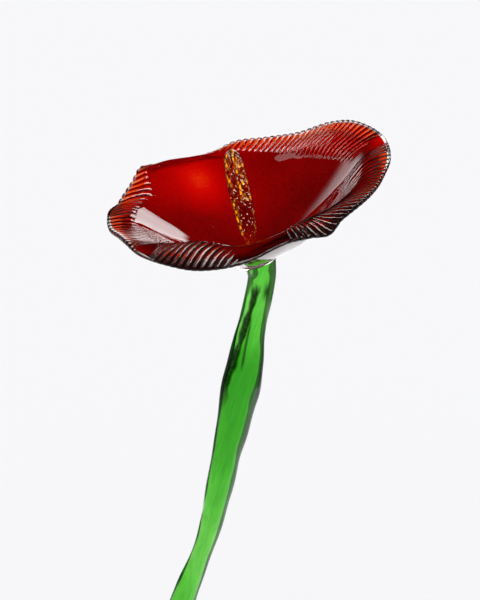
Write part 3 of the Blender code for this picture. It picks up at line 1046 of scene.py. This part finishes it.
@dataclass
class Stem:
    """Solid drawn stem of green glass: oval, folded near the top, swelling and thinning as it was pulled."""

    head: HeadFrame
    rows: Table = (
        (75.4, 0.7, 375.8, 6.8), (76.2, 0.6, 370.0, 5.9), (75.0, 0.5, 361.7, 5.8),
        (72.9, 0.5, 352.3, 5.9), (70.9, 0.5, 342.8, 6.5), (69.4, 0.4, 332.8, 7.7),
        (67.7, 0.3, 323.2, 8.3), (65.8, 0.2, 313.6, 7.7), (63.9, 0.2, 303.4, 7.0),
        (61.6, 0.1, 293.6, 6.2), (59.7, 0.1, 283.7, 6.0), (57.5, 0.0, 273.6, 5.6),
        (55.4, 0.0, 263.3, 5.0), (52.6, 0.0, 253.3, 4.5), (48.9, 0.0, 242.9, 4.5),
        (44.8, 0.0, 232.5, 5.2), (41.6, 0.0, 223.0, 5.6), (37.5, 0.0, 211.0, 5.5),
        (32.2, 0.0, 195.0, 5.1), (25.5, 0.0, 176.0, 5.2), (17.0, 0.0, 151.0, 5.8),
        (8.0, 0.0, 125.0, 5.5), (-1.0, 0.0, 99.0, 5.2), (-10.0, 0.0, 73.0, 5.4), (-19.0, 0.0, 46.0, 5.3),
        (-27.0, 0.0, 22.0, 5.2), (-29.6, 0.0, 14.3, 4.6),
    )
    sides: int = 96
    splits: int = 14
    top: float = 376.0
    oval: float = 0.12
    swell_radius: Span = (6.2, 8.0)
    swell_flat: float = 0.1
    swell_zone: Span = (28.0, 44.0)
    swell_end: Span = (80.0, 105.0)
    swell_less: float = 0.6
    fold_depth: float = 2.2
    fold_width: float = math.radians(13)
    fold_start: Span = (7.0, 16.0)
    fold_end: Span = (34.0, 60.0)
    fold_aim: float = -111.0
    fold_turn: float = -36.0
    fold_run: Span = (5.0, 62.0)
    wave: Span = (0.1, 0.31)
    wave_start: Span = (4.0, 20.0)
    seat_top: Span = (1.0, 10.0)
    seat_foot: Span = (14.3, 24.0)
    ragged: Table = ((0.06, 0.4, 0.0), (0.03, 0.93, 1.0))
    dark_side: Span = (0.2, 0.38)
    dark_start: Span = (8.0, 13.0)
    dark_end: Span = (52.0, 66.0)
    # Painted shade streaks: angle, width, and where each starts and ends below the boss.
    shade_streaks: Table = (
        (-8.0, 15.0, 26.0, 58.0), (-64.0, 13.0, 9.0, 14.0), (-170.0, 12.0, 48.0, 92.0),
        (-100.0, 4.0, 25.0, 44.0), (-172.0, 9.0, 112.0, 150.0),
    )
    shade_streak_fade: float = 3.0

    def rings(self) -> tuple[Array, Array, Array]:
        """Rings of the stem from the boss to the foot.

        Returns:
            Ring points, how dark the painted shade is and how much the swelling deepens the green.
        """
        path = spline_through(np.array(self.rows), self.splits)
        centre, radius = path[:, :3], path[:, 3]
        down = unit(np.gradient(centre, axis=0))
        front = np.array([0.0, -1.0, 0.0])
        right = unit(np.cross(front, down))
        right *= np.sign(right[:, :1])
        front = unit(np.cross(right, down))
        front *= -np.sign(front[:, 1:2])
        turn = np.linspace(0.0, math.tau, self.sides, endpoint=False)
        drop = self.top - centre[:, 2]
        deep = radius * (1.0 - self.oval - self.swell_flat * smoothstep(*self.swell_radius, radius))
        strength = between(self.fold_start, self.fold_end, drop)
        aim = np.radians(self.fold_aim + self.fold_turn * smoothstep(*self.fold_run, drop))
        gap = np.abs((turn[None, :] - aim[:, None] + math.pi) % math.tau - math.pi)
        fold = self.fold_depth * strength[:, None] * np.exp(-gap / self.fold_width)
        wave = self.wave[0] * np.sin(self.wave[1] * centre[:, 2:3] + 2.0 * turn)
        wave = wave * smoothstep(*self.wave_start, drop)[:, None]
        shell = 1.0 - (fold + wave) / radius[:, None]
        offset = (right[:, None, :] * (radius[:, None] * np.cos(turn) * shell)[..., None]
                  - front[:, None, :] * (deep[:, None] * np.sin(turn) * shell)[..., None])
        axis = self.head.turn() @ np.array([0.0, 0.0, 1.0])
        slide_top = -(offset @ axis) / (down @ axis)[:, None]
        slide_foot = -offset[..., 2] / down[:, 2:3]
        near_top = 1.0 - smoothstep(*self.seat_top, drop)
        near_foot = 1.0 - smoothstep(*self.seat_foot, centre[:, 2])
        slide = slide_top * near_top[:, None] + slide_foot * near_foot[:, None]
        swollen = 1.0 - self.swell_less * smoothstep(*self.swell_end, drop)
        swollen = (swollen * smoothstep(*self.swell_zone, drop))[:, None]
        points = centre[:, None, :] + offset + down[:, None, :] * slide[..., None]
        return points, self.painted_shade_marks(turn, drop, gap), np.repeat(swollen, self.sides, 1)

    def painted_shade_marks(self, turn: Array, drop: Array, gap: Array) -> Array:
        """Painted shade: a dark band along the fold and dark streaks, drawn out along the stem.

        Args:
            turn: Angles round the stem, the camera's side at -90 degrees.
            drop: Height below the boss for each ring.
            gap: Angle from the fold.

        Returns:
            0 clear to 1 dark, ring by ring.
        """
        fall = drop[:, None]
        ragged = sum(amount * np.sin(pace * fall + phase) for amount, pace, phase in self.ragged)
        dark = 1.0 - smoothstep(*self.dark_side, gap + ragged)
        dark = dark * between(self.dark_start, self.dark_end, fall)
        fade = self.shade_streak_fade
        for aim, wide, begin, end in self.shade_streaks:
            off = (np.degrees(turn)[None, :] - aim + 180.0) % 360.0 - 180.0
            ends = between((begin - fade, begin + fade), (end - fade, end + fade), fall)
            dark = np.maximum(dark, np.exp(-(off / wide) ** 2) * ends)
        return dark

    def build(self) -> None:
        """Make and dress the stem."""
        # Green glass drawn out solid: deep where it is thick, with long soft streaks, and painted shade
        # along the fold and in dark streaks.
        green = TintedGlass(name="green_glass_solid_drawn", absorbs=(235.0, 66.0, 320.0), wave_mm=7.0,
                            wave_depth_mm=0.12, wave_stretch=0.25, painted_shade_colour="0E1F0A", deepened="BCD8AC",
                            cover=0.6)
        points, painted_shade_marks, swollen = self.rings()
        piece = skin("stem_rod", points)
        store(piece, "shade", painted_shade_marks)
        store(piece, "swollen", swollen)
        settle(piece, "stem", green.build())


@dataclass
class Vase:
    """Straight clear cylinder with a thick flat foot and a fire-polished mouth."""

    radius: float = 42.0
    wall: float = 4.0
    height: float = 195.0
    floor: float = 14.0
    foot_round: float = 2.5
    floor_round: float = 4.0
    levels: tuple[float, ...] = (0.1, 0.35, 0.65, 0.9)
    inner_levels: tuple[float, ...] = (0.9, 0.65, 0.35, 0.12)
    foot_reaches: Span = (20.0, 38.0)
    floor_reach: float = 16.0
    sides: int = 160

    def profile(self) -> Array:
        """Outline from the foot's middle, up, over the mouth and down to the floor's middle.

        Returns:
            Reach and height of each point.
        """
        r, top, half = self.radius, self.height, self.wall / 2.0
        inner, foot, corner = r - self.wall, self.foot_round, self.floor_round
        points = [(reach, 0.0) for reach in (*self.foot_reaches, r - foot)]
        points += arc((r - foot, foot), foot, -75.0, 0.0, 5)
        points += [(r, top * level) for level in self.levels]
        points += arc((r - half, top - half), half, 0.0, 180.0, 12)
        points += [(inner, top * level) for level in self.inner_levels]
        points += arc((inner - corner, self.floor + corner), corner, 0.0, -90.0, 8)
        points.append((self.floor_reach, self.floor))
        return np.array(points)

    def build(self) -> None:
        """Make and dress the vase."""
        turn = np.linspace(0.0, math.tau, self.sides, endpoint=False)
        rings = [np.stack([reach * np.cos(turn), reach * np.sin(turn), np.full_like(turn, up)], -1)
                 for reach, up in self.profile()]
        # Clear soda-lime glass with a pressed foot: hard bright edges and a faint grey-green in its depth.
        glass = TintedGlass(name="clear_soda_lime_glass_pressed_foot", absorbs=(2.4, 1.0, 1.8), wave_mm=40.0,
                            wave_depth_mm=0.06, skin_tint="ECEDED")
        settle(skin("vase_cylinder", np.array(rings)), "vase", glass.build())


@dataclass(frozen=True)
class SoftBox:
    """Bright panel in the ceiling; places and half sizes are shares of the ceiling's height."""

    x: float
    y: float
    half_x: float
    half_y: float
    strength: float
    edge: float = 0.03


@dataclass
class Studio:
    """Plain pale floor, soft light and the camera of the photograph.

    Paper and backdrop show the camera one plain brightness, and light the glass with another.
    """

    floor_size: float = 60.0
    floor_drop: float = 0.0002
    lens: float = 100.0
    camera_place: Triple = (67.16, -669.36, 526.56)
    camera_pitch: float = 14.0
    room: float = 0.01
    backdrop: float = 0.94
    backdrop_side: Span = (0.7, 0.8)
    backdrop_top: Span = (0.3, 0.2)
    backdrop_seen: float = 0.92
    boxes: ClassVar[tuple[SoftBox, ...]] = (
        SoftBox(0.9, 2.07, 0.61, 1.43, 5.0),
        SoftBox(-1.95, 3.4, 0.7, 2.05, 1.6, 0.3),
        SoftBox(-4.2, 2.9, 1.75, 2.5, 0.55),
        SoftBox(-1.75, -0.42, 0.87, 0.29, 1.7),
        SoftBox(-1.8, 0.2, 0.38, 0.3, 1.5),
        SoftBox(0.15, -1.6, 0.85, 1.0, 9.0),
        SoftBox(1.7, -0.1, 0.5, 0.5, 4.0),
    )

    def camera(self) -> None:
        """Camera at the photograph's angle."""
        data = bpy.data.cameras.new("camera")
        data.lens = self.lens
        data.sensor_width = 36.0
        data.clip_end = 200.0
        camera = bpy.data.objects.new("camera", data)
        camera.location = Vector(self.camera_place) * MM
        camera.rotation_euler = (math.radians(90.0 - self.camera_pitch), 0.0, 0.0)
        bpy.context.scene.collection.objects.link(camera)
        bpy.context.scene.camera = camera

    def floor(self) -> None:
        """Plain pale floor."""
        h = self.floor_size / 2.0
        mesh = bpy.data.meshes.new("floor")
        mesh.from_pydata([(-h, -h, 0), (h, -h, 0), (h, h, 0), (-h, h, 0)], [], [(0, 1, 2, 3)])
        piece = bpy.data.objects.new("floor", mesh)
        piece.location.z = -self.floor_drop
        bpy.context.scene.collection.objects.link(piece)
        mesh.materials.append(MattPaper().build())

    def world(self) -> None:
        """Dark room with a bright backdrop behind the flower and soft boxes."""
        world = bpy.data.worlds.new("studio")
        bpy.context.scene.world = world
        world.use_nodes = True
        tree = world.node_tree
        tree.nodes.clear()
        way = add_node(tree, "ShaderNodeTexCoord").outputs["Generated"]
        split = add_node(tree, "ShaderNodeSeparateXYZ", None, {0: way})
        behind, low = [add_node(tree, "ShaderNodeMapRange", {"interpolation_type": "SMOOTHSTEP"}, {
            "Value": split.outputs[axis], "From Min": edge[0], "From Max": edge[1]}).outputs[0]
            for axis, edge in (("Y", self.backdrop_side), ("Z", self.backdrop_top))]
        wall = add_node(tree, "ShaderNodeMath", {"operation": "MULTIPLY"}, {0: behind, 1: low})
        total = add_node(tree, "ShaderNodeMath", {"operation": "MULTIPLY_ADD"}, {
            0: wall.outputs[0], 1: self.backdrop - self.room, 2: self.room}).outputs[0]
        height = add_node(tree, "ShaderNodeMath", {"operation": "MAXIMUM"}, {0: split.outputs["Z"], 1: 0.01})
        over = [add_node(tree, "ShaderNodeMath", {"operation": "DIVIDE"}, {
            0: split.outputs[axis], 1: height.outputs[0]}).outputs[0] for axis in "XY"]
        for box in self.boxes:
            total = self.lit(tree, over, box, total)
        light = add_node(tree, "ShaderNodeBackground", None, {
            "Color": (1.0, 1.0, 1.0, 1.0), "Strength": shown(tree, total, self.backdrop_seen)})
        out = add_node(tree, "ShaderNodeOutputWorld")
        tree.links.new(light.outputs[0], out.inputs["Surface"])

    def lit(self, tree: Tree, over: Sequence[Socket], box: SoftBox, total: Socket) -> Socket:
        """Add one soft box to the surroundings.

        Args:
            tree: World tree.
            over: Place on the ceiling, x and y.
            box: Soft box to add.
            total: Brightness so far.

        Returns:
            Brightness with the box.
        """
        parts = []
        for place, middle, half in ((over[0], box.x, box.half_x), (over[1], box.y, box.half_y)):
            away = add_node(tree, "ShaderNodeMath", {"operation": "SUBTRACT"}, {0: place, 1: middle})
            away = add_node(tree, "ShaderNodeMath", {"operation": "ABSOLUTE"}, {0: away.outputs[0]})
            inside = add_node(tree, "ShaderNodeMapRange", {"interpolation_type": "SMOOTHSTEP"}, {
                "Value": away.outputs[0], "From Min": half + box.edge, "From Max": half - box.edge})
            parts.append(inside.outputs[0])
        mask = add_node(tree, "ShaderNodeMath", {"operation": "MULTIPLY"}, {0: parts[0], 1: parts[1]})
        return add_node(tree, "ShaderNodeMath", {"operation": "MULTIPLY_ADD"}, {
            0: mask.outputs[0], 1: box.strength, 2: total}).outputs[0]

    def film(self) -> None:
        """Plain tone and enough bounces for glass in glass."""
        view, cycles = bpy.context.scene.view_settings, bpy.context.scene.cycles
        view.view_transform = "Standard"
        view.look = "None"
        cycles.max_bounces = 24
        cycles.transmission_bounces = 20
        cycles.glossy_bounces = 8
        cycles.diffuse_bounces = 3
        cycles.transparent_max_bounces = 32
        cycles.use_denoising = True
        cycles.sample_clamp_indirect = 8.0

    def build(self) -> None:
        """Set up the studio."""
        self.camera()
        self.floor()
        self.world()
        self.film()


def main() -> None:
    """Build the flower, the vase and the studio in order."""
    logging.basicConfig(level=logging.INFO, format="%(name)s: %(message)s")
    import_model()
    Studio().build()
    head = HeadFrame()
    for part in (Vase(), Stem(head), Bloom(head, DishForm(), RedGather()), Pistil(head)):
        part.build()


if __name__ == "__main__":
    main()
